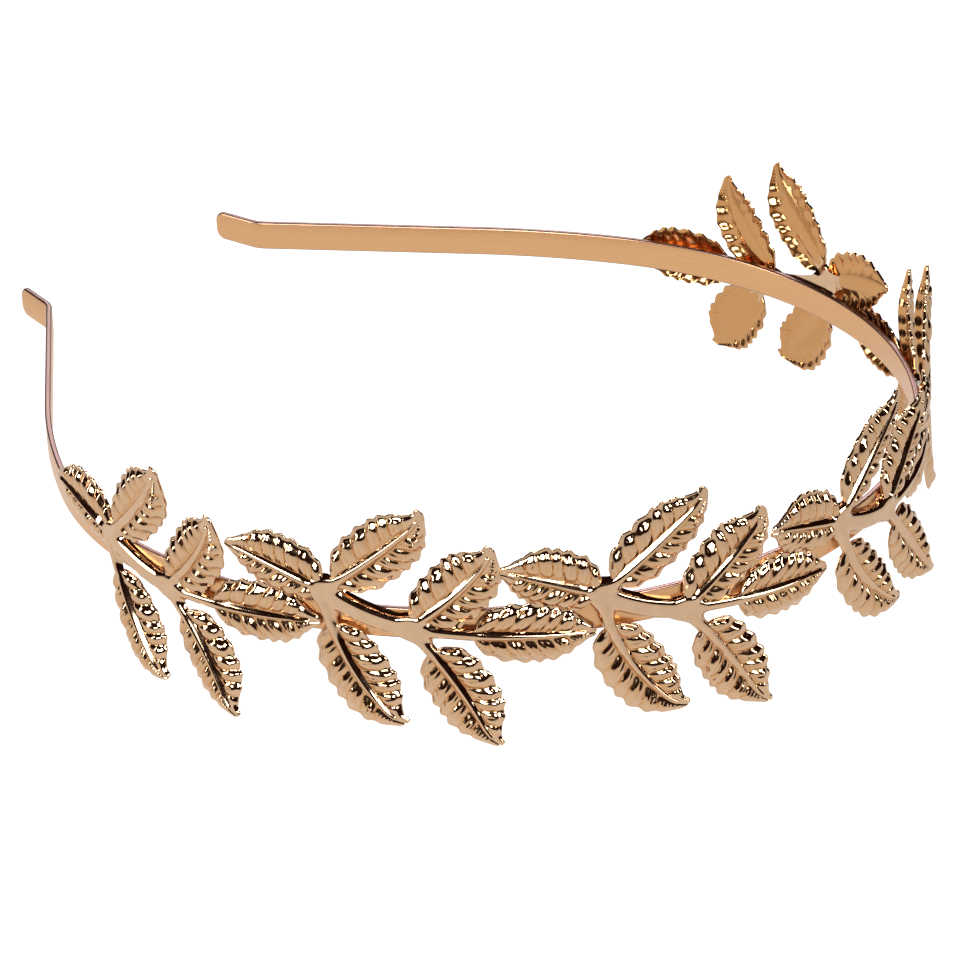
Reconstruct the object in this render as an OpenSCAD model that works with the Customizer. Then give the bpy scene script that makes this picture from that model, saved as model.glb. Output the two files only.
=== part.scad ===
// Laurel leaf headband: a springy flat band, open behind the head, with six stamped leaf
// sprays soldered in a row along its outside. Millimetres, +Z up. It stands level on its
// lower leaf tips, with the front towards -Y, and the origin is on the surface below it,
// midway between its outermost points.

/* [Band] */
// Height of the flat strip
band_h = 5; // [4:0.25:6.5]
// Thickness of the strip
band_t = 1; // [0.8:0.1:1.4]
// Radius of the round front, to the middle of the strip
front_r = 69; // [62:1:78]
// Angle that the strip turns through in the round front, from its middle to one side
front_angle = 117; // [105:1:125]
// Radius of the slacker bend that follows it
side_r = 128; // [90:2:180]
// Strip length in the slacker bend
side_len = 26; // [16:1:36]
// Strip length of each straight arm
arm_len = 37.5; // [30:0.5:52]
// Radius of the fold that turns each end outward, to the middle of the strip
fold_r = 5; // [3:0.5:8]
// Angle by which each end turns outward
end_turn = 29; // [15:1:45]
// Strip length of each turned end past its fold
end_len = 8; // [5:0.5:13]
// Corner radius of the turned ends
end_corner_r = 1.75; // [1:0.25:2.25]

/* [Sprays] */
// Strip length from the front middle back to the first spray's first fork
first_fork = 117.5; // [105:0.5:120]
// Strip length from one spray's first fork to the next one's
spray_pitch = 43; // [41:0.5:46]
// Height of each first fork over the middle of the strip
fork_z = 3.4; // [2:0.2:4.4]
// Distance between the two forks of a spray
stem_len = 14; // [12:0.2:17]
// Width of the stem between the forks
stem_w = 3.6; // [2.4:0.2:4.4]
// Height of the stem's rounded crown over its flat back
stem_rise = 1.5; // [1.2:0.1:2.2]

/* [Leaves] */
// Length of a full leaf blade
leaf_len = 17.5; // [14:0.5:19]
// Width of a full leaf blade
leaf_w = 9.6; // [7:0.2:11]
// Thickness of the stamped metal
leaf_t = 0.6; // [0.5:0.05:0.9]
// Width of a leaf stalk
stalk_w = 1.8; // [1.2:0.1:2.4]
// Height by which the midrib is raised at the foot of a blade
rib_rise = 0.55; // [0.3:0.05:0.8]
// Fall of a blade's edges behind its midrib
dome = 1.1; // [0.5:0.1:1.4]
// Height by which a full-lift leaf tip stands out beyond its fork
tip_lift = 2.4; // [1:0.1:3]
// Number of pleats along each half of a blade
pleats = 6; // [4:1:6]
// Height of a pleat's ridge over its furrow
pleat_rise = 0.5; // [0.2:0.05:0.7]

/* [Hidden] */

// Runs of the strip from the front middle to its end: radius (0 is straight and a fold
// outward is less than 0), length, and the number of flats that draw the run
front_len = front_r * front_angle * PI / 180;
RUNS = [
    [front_r, front_len, 36],
    [side_r, side_len, 4],
    [0, arm_len, 1],
    [-fold_r, fold_r * end_turn * PI / 180, 4],
    [0, end_len, 1]
];

// Each spray as it was soldered on by hand, left to right: shift along the band as a share
// of spray_pitch, lift over fork_z as a share of the strip's height, and turn in degrees
SPRAYS = [
    [0, -0.18, 2.7],
    [-0.035, 0.29, -3],
    [-0.08, 0.08, -3.5],
    [-0.08, -0.1, 2],
    [-0.07, 0.03, 1.5],
    [0.015, 0.15, 2.3]
];

// Angle of the stem below the strip's run at the first fork, and the angle it turns through
stem_dip = -30.5;
stem_curl = 24;

// Leaves of a spray: fork that the leaf grows from, heading of the line from fork to tip,
// turn of the midrib along it, stalk and blade lengths as shares of leaf_len, tip height as
// a share of tip_lift, the lean of the blade about its midrib, and the share by which its
// left-hand half is the wider one
LEAVES = [
    [0, 162, -2, 0.03, 0.92, 1.2, -4, -0.12],
    [0, 45.5, 14, 0.19, 1.01, 0.85, 4, 0],
    [0, -57, 40, 0.36, 1.03, 1, -4, 0],
    [1, 55, 32, 0.09, 1, 1, -8, 0.05],
    [1, -54, -18, 0.32, 0.94, 1.3, 4, 0],
    [1, -1, 8, 0.58, 0.98, -0.05, 0, 0.05]
];

// Outline of a blade: share of its length, share of its full width
OUTLINE = [
    [0, 0.42],
    [0.07, 0.75],
    [0.2, 0.96],
    [0.38, 1],
    [0.55, 0.96],
    [0.7, 0.78],
    [0.82, 0.5],
    [0.91, 0.28],
    [1, 0.05]
];

// Columns of points across a blade, as shares of its half width; the inner pair sits at the
// foot of the midrib, and the height of each column is a share of the midrib's rise, of the
// dome's fall and of a pleat
ACROSS = [
    [-1, 0, 1, 1],
    [-0.3, 0, 0.1, 0.2],
    [0, 1, 0, 0],
    [0.3, 0, 0.1, 0.2],
    [1, 0, 1, 1]
];

// Share by which a pleat's ridge widens the outline and its furrow narrows it
scallop = 0.09;
// Forward slant of the pleats, as a share of the blade's length
slant = 0.1;
// Share of its foot width and height that the midrib keeps at the tip
rib_taper = 0.35;
// Depth by which solder beds a stem's flat back into the band
solder_bed = 0.1;
// Height of a stem's upright sides, from its flat back to its rounded crown
stem_side = 0.3;
// Sections along a stem, and points over its crown
stem_sections = 8;
crown_points = 7;
// Distance of a rounded corner's centre from both edges, as a share of its radius: under 1,
// the round crosses the edges instead of only touching them
corner_set = 0.98;
corner_fn = 48;

stations = 2 * pleats + 1;
fork_n = band_t / 2 + stem_rise - leaf_t / 2;

// Point and heading a length l further along a run of radius r
function along(p, r, l) =
    r == 0
        ? [p.x + l * cos(p.z), p.y + l * sin(p.z), p.z]
        : let (t = p.z + l / r * 180 / PI)
          [p.x + r * (sin(t) - sin(p.z)), p.y - r * (cos(t) - cos(p.z)), t];

// Where run i starts on the right-hand side: x, y and heading
function run_start(i) = i == 0 ? [0, 0, 0] : along(run_start(i - 1), RUNS[i - 1][0], RUNS[i - 1][1]);

// Strip length from the front middle to the end of run i
function run_end(i) = i < 0 ? 0 : run_end(i - 1) + RUNS[i][1];
half_len = run_end(len(RUNS) - 1);

// Middle of the strip at a length a from the front middle, on the right-hand side
function right_side(a, i = 0) =
    i == len(RUNS) - 1 || a <= RUNS[i][1]
        ? along(run_start(i), RUNS[i][0], a)
        : right_side(a - RUNS[i][1], i + 1);

// Lays a point given by strip length s, height z and height n off the strip's middle
// around the band: s runs from left to right and n points outwards
function wrap(q) =
    let (p = right_side(abs(q.x)), side = q.x < 0 ? -1 : 1)
    [side * (p.x + q.z * sin(p.z)), p.y - q.z * cos(p.z), q.y];

// Point at a length l along an arc of the given total length, chord heading and turn
function arc_point(l, total, heading, turn) =
    let (k = turn / total, h = heading - turn / 2)
    abs(turn) < 0.01
        ? l * [cos(heading), sin(heading)]
        : 180 / PI / k * [sin(h + k * l) - sin(h), cos(h) - cos(h + k * l)];

// Point [s, z, n] of a spray's own plan, turned and set at its place on the band
function placed(i, q) =
    let (lay = SPRAYS[i], t = lay[2])
    [
        (i + lay[0]) * spray_pitch - first_fork + q.x * cos(t) - q.y * sin(t),
        fork_z + lay[1] * band_h + q.x * sin(t) + q.y * cos(t),
        q.z
    ];

// A spray's forks in its own plan
function fork(j) = j == 0 ? [0, 0] : arc_point(stem_len, stem_len, stem_dip + stem_curl / 2, stem_curl);

// Point on the upper face of leaf row at length l from its fork, in column c
function leaf_point(row, l, half_w, c, ridge) =
    let (
        stalk = row[3] * leaf_len,
        blade = row[4] * leaf_len,
        total = stalk + blade,
        u = max(0, (l - stalk) / blade),
        reach = sin(180 * u) * slant * blade * abs(c[0]),
        k = row[2] / total,
        h = row[1] - row[2] / 2 + k * l,
        mid = fork(row[0]) + arc_point(l + reach, total, row[1], row[2]),
        off = c[0] * half_w * (1 + sign(c[0]) * row[7]),
        rib = rib_rise * (1 - (1 - rib_taper) * u),
        lift = row[5] * tip_lift * pow(l / total, 2)
    )
    [
        mid.x - off * sin(h),
        mid.y + off * cos(h),
        fork_n + lift + c[1] * rib - c[2] * dome * pow(2 * half_w / leaf_w, 2)
            + c[3] * ridge * pleat_rise / 2 + off * tan(row[6]) * sin(90 * u)
    ];

// Rows of upper-face points of leaf row: one at the fork, then the blade's stations
function leaf_rows(row) =
    let (stalk = row[3] * leaf_len, blade = row[4] * leaf_len)
    concat(
        [[for (c = ACROSS) leaf_point(row, 0, stalk_w / 2, c, 0)]],
        [
            for (m = [0 : stations - 1])
                let (
                    u = m / (stations - 1),
                    ridge = m == 0 || m == stations - 1 ? 0 : (m % 2 == 1 ? 1 : -1),
                    share = lookup(u, OUTLINE) * (1 + scallop * ridge),
                    half_w = max(share * leaf_w / 2, stalk_w / 2 * rib_taper)
                )
                [for (c = ACROSS) leaf_point(row, stalk + u * blade, half_w, c, ridge)]
        ]
    );

// Closed solid between two like grids of points, the first one being the outer face
module between(outer, inner) {
    rows = len(outer);
    cols = len(outer[0]);
    half = rows * cols;
    rim = concat(
        [for (j = [0 : cols - 1]) j],
        [for (i = [1 : rows - 1]) i * cols + cols - 1],
        [for (j = [cols - 2 : -1 : 0]) (rows - 1) * cols + j],
        [for (i = [rows - 2 : -1 : 1]) i * cols]
    );
    polyhedron(
        points = concat([for (r = outer) each r], [for (r = inner) each r]),
        faces = concat(
            [
                for (i = [0 : rows - 2], j = [0 : cols - 2])
                    let (a = i * cols + j, b = a + cols)
                    each [[a, a + 1, b + 1], [a, b + 1, b]]
            ],
            [
                for (i = [0 : rows - 2], j = [0 : cols - 2])
                    let (a = half + i * cols + j, b = a + cols)
                    each [[a, b + 1, a + 1], [a, b, b + 1]]
            ],
            [
                for (m = [0 : len(rim) - 1])
                    let (a = rim[m], b = rim[(m + 1) % len(rim)])
                    each [[a, half + b, b], [a, half + a, half + b]]
            ]
        )
    );
}

// One leaf of spray i with its stalk
module leaf(i, row) {
    rows = leaf_rows(row);
    between(
        [for (r = rows) [for (q = r) wrap(placed(i, q))]],
        [for (r = rows) [for (q = r) wrap(placed(i, q - [0, 0, leaf_t]))]]
    );
}

// Half-round stem of spray i, from just before its first fork to just past its second
module stem(i) {
    back = band_t / 2 - solder_bed;
    crown = stem_rise + solder_bed - stem_side;
    over = stem_w / 2;
    sections = [
        for (m = [0 : stem_sections])
            let (
                v = m / stem_sections,
                l = -over + v * (stem_len + 2 * over),
                w = stem_w / 2 * (0.35 + 0.65 * pow(sin(180 * v), 0.4)),
                c = arc_point(l, stem_len, stem_dip + stem_curl / 2, stem_curl),
                h = stem_dip + stem_curl * l / stem_len
            )
            [
                for (j = [0 : crown_points - 1])
                    let (a = 180 * j / (crown_points - 1), off = -w * cos(a))
                    [c.x - off * sin(h), c.y + off * cos(h), back + stem_side + crown * sin(a)]
            ]
    ];
    between(
        [for (r = sections) [for (q = r) wrap(placed(i, q))]],
        [for (r = sections) [for (q = r) wrap(placed(i, [q.x, q.y, back]))]]
    );
}

// One spray: its stem and six leaves
module spray(i) {
    union() {
        stem(i);
        for (row = LEAVES)
            leaf(i, row);
    }
}

// Strip lengths at which the flats of the right-hand half begin, and where it ends
STATIONS = [
    for (i = [0 : len(RUNS) - 1], k = [0 : RUNS[i][2] - 1])
        run_end(i - 1) + RUNS[i][1] * k / RUNS[i][2],
    half_len
];
last = len(STATIONS) - 1;

// Face of the strip at n off its middle, as seen from above, from left to right
function face_line(n) = [
    for (k = [-last : last])
        let (q = wrap([sign(k) * STATIONS[abs(k)], 0, n]))
        [q.x, q.y]
];
strip_outline = concat(face_line(band_t / 2), [for (k = [2 * last : -1 : 0]) face_line(-band_t / 2)[k]]);

// What is cut off the upper corner of the right-hand end to round it
module corner_cut() {
    tip = right_side(half_len);
    centre = -corner_set * end_corner_r;
    translate([tip.x, tip.y, band_h / 2])
        rotate([0, 0, tip.z])
            rotate([90, 0, 0])
                linear_extrude(3 * band_t, center = true)
                    difference() {
                        translate([-end_corner_r, -end_corner_r])
                            square(2 * end_corner_r);
                        translate([centre, centre])
                            circle(end_corner_r, $fn = corner_fn);
                    }
}

// Flat strip bent round the head, open behind, with its ends turned outward
module band() {
    difference() {
        translate([0, 0, -band_h / 2])
            linear_extrude(band_h)
                polygon(strip_outline);
        for (side = [0, 1], end = [0, 1])
            mirror([side, 0, 0])
                mirror([0, 0, end])
                    corner_cut();
    }
}

// Outermost points of the whole headband, for setting it on its origin
leaf_points = [
    for (i = [0 : len(SPRAYS) - 1], row = LEAVES, r = leaf_rows(row), q = r, t = [0, leaf_t])
        wrap(placed(i, q - [0, 0, t]))
];
low_x = min([for (q = leaf_points) q.x]);
high_x = max([for (q = leaf_points) q.x]);
low_y = min([for (q = leaf_points) q.y]);
high_y = max([for (q = strip_outline) q.y]);
low_z = min([for (q = leaf_points) q.z]);

// The soldered headband in its resting place
module headband() {
    color([0.85, 0.68, 0.46])
        translate([-(low_x + high_x) / 2, -(low_y + high_y) / 2, -low_z])
            union() {
                band();
                for (i = [0 : len(SPRAYS) - 1])
                    spray(i);
            }
}

headband();
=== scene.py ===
"""Laurel leaf headband of gold-plated brass, on a white studio floor.

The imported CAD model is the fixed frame. The band and the six sprays are modelled
again here with the relief of the real stampings, and they replace the CAD node.
Lengths in the classes are in millimetres and angles in degrees.
"""
import logging
import math
from dataclasses import dataclass, field
from enum import Enum
from typing import Optional, Sequence

import bmesh
import bpy
import numpy as np
from mathutils import Matrix, Vector


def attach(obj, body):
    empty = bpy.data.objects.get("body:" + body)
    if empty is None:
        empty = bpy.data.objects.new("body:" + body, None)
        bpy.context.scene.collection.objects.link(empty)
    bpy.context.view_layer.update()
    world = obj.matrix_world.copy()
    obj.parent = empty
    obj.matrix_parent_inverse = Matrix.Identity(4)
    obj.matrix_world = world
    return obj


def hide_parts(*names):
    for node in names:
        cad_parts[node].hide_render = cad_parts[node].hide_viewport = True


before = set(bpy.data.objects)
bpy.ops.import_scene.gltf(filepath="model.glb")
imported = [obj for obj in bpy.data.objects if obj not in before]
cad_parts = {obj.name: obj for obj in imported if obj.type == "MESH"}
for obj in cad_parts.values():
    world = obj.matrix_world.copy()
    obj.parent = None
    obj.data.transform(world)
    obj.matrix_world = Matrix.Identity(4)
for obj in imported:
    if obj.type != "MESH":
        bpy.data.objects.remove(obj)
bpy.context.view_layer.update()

log = logging.getLogger("headband")

MM = 0.001
BODY = "root"
CAD_NODE = "headband"

# Vertices closer than this are one, and how far outside its outline a skeleton is told, in mm
TOUCH_MM = 1e-4
FAR_MM = 3.0

# Numbers of the Mix node's colour sockets, which share their names with its other sockets
FACTOR, FROM, TO, MIXED = 0, 6, 7, 2

# Roughness of the noise behind dull patches and brush lines
NOISE_ROUGHNESS = 0.6


# Small helpers

def linear(hex_colour: str) -> tuple[float, float, float, float]:
    """Turns an sRGB hex colour to the linear values that shaders use.

    Args:
        hex_colour: Six hex digits after a hash sign.

    Returns:
        Linear red, green and blue, and 1 for alpha.
    """
    shares = [int(hex_colour[i:i + 2], 16) / 255 for i in (1, 3, 5)]
    red, green, blue = [v / 12.92 if v <= 0.04045 else ((v + 0.055) / 1.055) ** 2.4 for v in shares]
    return red, green, blue, 1.0


def soft_step(values: np.ndarray, start: float, end: float) -> np.ndarray:
    """Rises smoothly from 0 at start to 1 at end.

    Args:
        values: Where it is wanted.
        start: Value at which it leaves 0.
        end: Value at which it reaches 1.

    Returns:
        The step, one number for each value.
    """
    share = np.clip((values - start) / (end - start), 0.0, 1.0)
    return share * share * (3 - 2 * share)


def smooth_table(values: np.ndarray, table: Sequence[tuple[float, float]]) -> np.ndarray:
    """Reads a short table with a smooth curve through its rows.

    Args:
        values: Where it is read. Past the ends it keeps the end's value.
        table: Rows of place and value, in order of place.

    Returns:
        The curve's values.
    """
    places, heights = np.array(table, dtype=float).T
    rises = np.diff(heights) / np.diff(places)
    slopes = np.zeros_like(heights)
    same_way = rises[:-1] * rises[1:] > 0
    sums = np.where(same_way, rises[:-1] + rises[1:], 1.0)
    slopes[1:-1] = np.where(same_way, 2 * rises[:-1] * rises[1:] / sums, 0.0)
    slopes[0], slopes[-1] = rises[0], rises[-1]
    x = np.clip(values, places[0], places[-1])
    row = np.clip(np.searchsorted(places, x, side="right") - 1, 0, len(places) - 2)
    width = places[row + 1] - places[row]
    t = (x - places[row]) / width
    return (
        (1 + 2 * t) * (1 - t) ** 2 * heights[row]
        + t * (1 - t) ** 2 * width * slopes[row]
        + t * t * (3 - 2 * t) * heights[row + 1]
        + t * t * (t - 1) * width * slopes[row + 1]
    )


def hump(values: np.ndarray, middle: float, width: float) -> np.ndarray:
    """Bell curve that is 1 at its middle."""
    return np.exp(-((values - middle) / width) ** 2)


def late(values: np.ndarray, start: float) -> np.ndarray:
    """Grows ever faster, from 0 at start to 1 at 1."""
    return np.clip((values - start) / (1 - start), 0.0, 1.0) ** 2


def crease(phase: np.ndarray) -> np.ndarray:
    """Line across a pattern: 1 at a phase of a whole number and 0 half-way between two."""
    return np.abs(2 * (phase - np.floor(phase)) - 1)


def places_of(verts: Sequence[bmesh.types.BMVert]) -> np.ndarray:
    """Places of a bmesh's vertices, one row each."""
    return np.array([v.co[:] for v in verts])


def move_to(verts: Sequence[bmesh.types.BMVert], places: np.ndarray) -> None:
    """Moves vertices to new places, one row each."""
    for vert, place in zip(verts, places):
        vert.co = place


def add_piece(
    name: str, bm: bmesh.types.BMesh, material: bpy.types.Material, sharp: float
) -> bpy.types.Object:
    """Makes an object of a bmesh and frees the bmesh.

    Args:
        name: Name of the object and of its mesh.
        bm: Finished shape, in metres in the row frame.
        material: Its material.
        sharp: Angle between faces past which an edge shades sharp.

    Returns:
        The new object, in the scene.
    """
    mesh = bpy.data.meshes.new(name)
    bm.to_mesh(mesh)
    bm.free()
    mesh.materials.append(material)
    mesh.shade_smooth()
    mesh.set_sharp_from_angle(angle=math.radians(sharp))
    piece = bpy.data.objects.new(name, mesh)
    bpy.context.scene.collection.objects.link(piece)
    return piece


def declare(piece: bpy.types.Object) -> None:
    """Sets a piece on its body, in place of the CAD node, and reports it.

    Args:
        piece: The finished piece.
    """
    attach(piece, BODY)
    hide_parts(CAD_NODE)
    triangles = sum(len(face.vertices) - 2 for face in piece.data.polygons)
    log.info("%s: %d triangles", piece.name, triangles)


# Finishes

def new_material(name: str) -> tuple[bpy.types.Material, bpy.types.NodeTree]:
    """Makes an empty node material.

    Args:
        name: Its name.

    Returns:
        The material and its node tree.
    """
    material = bpy.data.materials.new(name)
    material.use_nodes = True
    material.node_tree.nodes.clear()
    return material, material.node_tree


def add_node(
    tree: bpy.types.NodeTree,
    kind: str,
    settings: Optional[dict[str | int, object]] = None,
    links: Optional[dict[str | int, bpy.types.NodeSocket]] = None,
) -> bpy.types.Node:
    """Adds a node with its settings and links.

    Args:
        tree: Where it goes.
        kind: Blender's name of the kind of node.
        settings: Values by the name of a property, or by an input's name or number.
        links: Sockets that feed its inputs, by the input's name or number.

    Returns:
        The new node.
    """
    node = tree.nodes.new(kind)
    for name, value in (settings or {}).items():
        if hasattr(node, str(name)):
            setattr(node, name, value)
        else:
            node.inputs[name].default_value = value
    for name, socket in (links or {}).items():
        tree.links.new(socket, node.inputs[name])
    return node


@dataclass(frozen=True)
class PolishedGoldPlate:
    """Bright gold plating over stamped and tumbled brass.

    The plating is far thinner than the brass's own unevenness and mirror bright, so the
    eye sees the white table as champagne tan, the dark room as a near black brown and
    each lamp as a hard white spot. Tumbling leaves a faint orange peel and slightly
    duller patches, and it does not reach the furrows, which stay satin. Their deeper
    orange is painted shade, as is that of the groove beside the rib and of the leaves' backs.
    """

    name: str = "polished_gold_plate_on_stamped_brass"
    colour: str = "#E2BE9C"
    deep_colour: str = "#D0AD89"
    furrow_shade_colour: str = "#D09A60"
    roughness: float = 0.055
    dull_roughness: float = 0.13
    furrow_roughness: float = 0.2
    patch_mm: float = 2.2
    patch_detail: float = 3.0
    dull_start: float = 0.35
    dull_end: float = 0.75
    peel_mm: float = 1.9
    peel_detail: float = 1.0
    peel_depth_mm: float = 0.009

    def material(self) -> bpy.types.Material:
        """Makes the node material. The leaves' own attribute gives how deep in a furrow a place is; there
        the material paints shade in deeper orange and turns satin.

        Returns:
            The material.
        """
        material, tree = new_material(self.name)
        place = add_node(tree, "ShaderNodeTexCoord").outputs["Object"]
        furrow = add_node(tree, "ShaderNodeAttribute", {"attribute_name": Leaf.ATTRIBUTE}).outputs["Fac"]
        patches = add_node(
            tree, "ShaderNodeTexNoise",
            {"Scale": 1 / (self.patch_mm * MM), "Detail": self.patch_detail, "Roughness": NOISE_ROUGHNESS},
            {"Vector": place},
        ).outputs["Fac"]
        tint = add_node(
            tree, "ShaderNodeMix",
            {"data_type": "RGBA", FROM: linear(self.colour), TO: linear(self.deep_colour)},
            {FACTOR: patches},
        ).outputs[MIXED]
        # Painted shade: deeper orange in the furrows, the rib's groove and the leaves' backs
        colour = add_node(
            tree, "ShaderNodeMix",
            {"data_type": "RGBA", TO: linear(self.furrow_shade_colour)},
            {FACTOR: furrow, FROM: tint},
        ).outputs[MIXED]
        dullness = add_node(
            tree, "ShaderNodeMapRange",
            {
                "From Min": self.dull_start, "From Max": self.dull_end,
                "To Min": self.roughness, "To Max": self.dull_roughness,
            },
            {"Value": patches},
        ).outputs["Result"]
        roughness = add_node(
            tree, "ShaderNodeMapRange",
            {"To Max": self.furrow_roughness},
            {"Value": furrow, "To Min": dullness},
        ).outputs["Result"]
        peel = add_node(
            tree, "ShaderNodeTexNoise",
            {"Scale": 1 / (self.peel_mm * MM), "Detail": self.peel_detail},
            {"Vector": place},
        ).outputs["Fac"]
        bump = add_node(
            tree, "ShaderNodeBump",
            {"Distance": self.peel_depth_mm * MM},
            {"Height": peel},
        ).outputs["Normal"]
        shader = add_node(
            tree, "ShaderNodeBsdfPrincipled",
            {"Metallic": 1.0},
            {"Base Color": colour, "Roughness": roughness, "Normal": bump},
        )
        add_node(tree, "ShaderNodeOutputMaterial", None, {"Surface": shader.outputs["BSDF"]})
        return material


@dataclass(frozen=True)
class BrushedGoldPlate:
    """Gold plating over a rolled and brushed brass strip.

    Brushing runs along the strip, so it glows evenly in deep tan without mirror spots.
    The brush lines are drawn some four times as coarse as real ones, or they would not
    show. Past the flat face the rolled edges are drawn in a darker mauve.
    """

    name: str = "brushed_gold_plate_on_rolled_strip"
    colour: str = "#E5B484"
    deep_colour: str = "#DAA977"
    edge_colour: str = "#91716C"
    roughness: float = 0.24
    rough_lines: float = 0.36
    grain_mm: float = 0.14
    grain_length_mm: float = 14.0
    grain_depth_mm: float = 0.004
    grain_detail: float = 4.0
    line_start: float = 0.3
    line_end: float = 0.7
    edge_start_mm: float = 2.2
    edge_end_mm: float = 2.4

    def material(self) -> bpy.types.Material:
        """Makes the node material. The strip's own attribute gives length, height and depth in mm.

        Returns:
            The material.
        """
        material, tree = new_material(self.name)
        strip = add_node(tree, "ShaderNodeAttribute", {"attribute_name": Band.ATTRIBUTE}).outputs["Vector"]
        stretched = add_node(
            tree, "ShaderNodeVectorMath",
            {"operation": "MULTIPLY", 1: (1 / self.grain_length_mm, 1 / self.grain_mm, 1 / self.grain_mm)},
            {0: strip},
        ).outputs["Vector"]
        grain = add_node(
            tree, "ShaderNodeTexNoise",
            {"Scale": 1.0, "Detail": self.grain_detail, "Roughness": NOISE_ROUGHNESS},
            {"Vector": stretched},
        ).outputs["Fac"]
        tint = add_node(
            tree, "ShaderNodeMix",
            {"data_type": "RGBA", FROM: linear(self.colour), TO: linear(self.deep_colour)},
            {FACTOR: grain},
        ).outputs[MIXED]
        height = add_node(tree, "ShaderNodeSeparateXYZ", None, {"Vector": strip}).outputs["Y"]
        away = add_node(tree, "ShaderNodeMath", {"operation": "ABSOLUTE"}, {0: height}).outputs["Value"]
        edge = add_node(
            tree, "ShaderNodeMapRange",
            {"From Min": self.edge_start_mm, "From Max": self.edge_end_mm},
            {"Value": away},
        ).outputs["Result"]
        colour = add_node(
            tree, "ShaderNodeMix",
            {"data_type": "RGBA", TO: linear(self.edge_colour)},
            {FACTOR: edge, FROM: tint},
        ).outputs[MIXED]
        roughness = add_node(
            tree, "ShaderNodeMapRange",
            {
                "From Min": self.line_start, "From Max": self.line_end,
                "To Min": self.roughness, "To Max": self.rough_lines,
            },
            {"Value": grain},
        ).outputs["Result"]
        bump = add_node(
            tree, "ShaderNodeBump",
            {"Distance": self.grain_depth_mm * MM},
            {"Height": grain},
        ).outputs["Normal"]
        shader = add_node(
            tree, "ShaderNodeBsdfPrincipled",
            {"Metallic": 1.0},
            {"Base Color": colour, "Roughness": roughness, "Normal": bump},
        )
        add_node(tree, "ShaderNodeOutputMaterial", None, {"Surface": shader.outputs["BSDF"]})
        return material


@dataclass(frozen=True)
class FrostedGlass:
    """Frosted glass of a light table.

    Most of the lamps' light passes through it, and it is lit from below, brightest round
    its middle. So it shows pure white with hardly a shadow, and metal that leans back
    mirrors its dimmer far parts in deeper tones. Metal mirrors it at a share of its glow,
    from any side, because a table as bright as the picture's white would bleach the gold,
    and that share falls off round the headband. Its middle and reaches are in metres. Its
    grain is drawn some ten times as coarse as the real one, or it would not show.
    """

    name: str = "frosted_glass_of_a_light_table"
    colour: str = "#8E8D8D"
    grain_colour: str = "#8A8A89"
    grain_mm: float = 1.2
    grain_detail: float = 2.0
    roughness: float = 0.95
    specular: float = 0.1
    lit_middle: tuple[float, float, float] = (-0.022, 0.02, 0.0)
    glow: float = 1.56
    far_glow: float = 0.8
    glow_start: float = 0.1
    glow_reach: float = 0.5
    mirrored_share: float = 0.56
    mirrored_far_share: float = 0.36
    mirrored_start: float = 0.07
    mirrored_reach: float = 0.2

    def material(self) -> bpy.types.Material:
        """Makes the node material.

        Returns:
            The material.
        """
        material, tree = new_material(self.name)
        place = add_node(tree, "ShaderNodeTexCoord").outputs["Object"]
        grain = add_node(
            tree, "ShaderNodeTexNoise",
            {"Scale": 1 / (self.grain_mm * MM), "Detail": self.grain_detail},
            {"Vector": place},
        ).outputs["Fac"]
        tint = add_node(
            tree, "ShaderNodeMix",
            {"data_type": "RGBA", FROM: linear(self.colour), TO: linear(self.grain_colour)},
            {FACTOR: grain},
        ).outputs[MIXED]
        away = add_node(
            tree, "ShaderNodeVectorMath", {"operation": "DISTANCE", 1: self.lit_middle}, {0: place}
        ).outputs["Value"]
        glow, mirrored = (
            add_node(
                tree, "ShaderNodeMapRange",
                {
                    "interpolation_type": "SMOOTHSTEP",
                    "From Min": start, "From Max": reach, "To Min": near, "To Max": far,
                },
                {"Value": away},
            ).outputs["Result"]
            for start, reach, near, far in (
                (self.glow_start, self.glow_reach, self.glow, self.far_glow),
                (self.mirrored_start, self.mirrored_reach, self.mirrored_share, self.mirrored_far_share),
            )
        )
        direct = add_node(tree, "ShaderNodeLightPath").outputs["Is Camera Ray"]
        seen = add_node(
            tree, "ShaderNodeMapRange", {"To Max": 1.0}, {"Value": direct, "To Min": mirrored}
        ).outputs["Result"]
        strength = add_node(
            tree, "ShaderNodeMath", {"operation": "MULTIPLY"}, {0: glow, 1: seen}
        ).outputs["Value"]
        shader = add_node(
            tree, "ShaderNodeBsdfPrincipled",
            {
                "Roughness": self.roughness, "Specular IOR Level": self.specular,
                "Emission Color": (1.0, 1.0, 1.0, 1.0),
            },
            {"Base Color": tint, "Emission Strength": strength},
        )
        add_node(tree, "ShaderNodeOutputMaterial", None, {"Surface": shader.outputs["BSDF"]})
        return material


# Where things lie on the head

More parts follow.
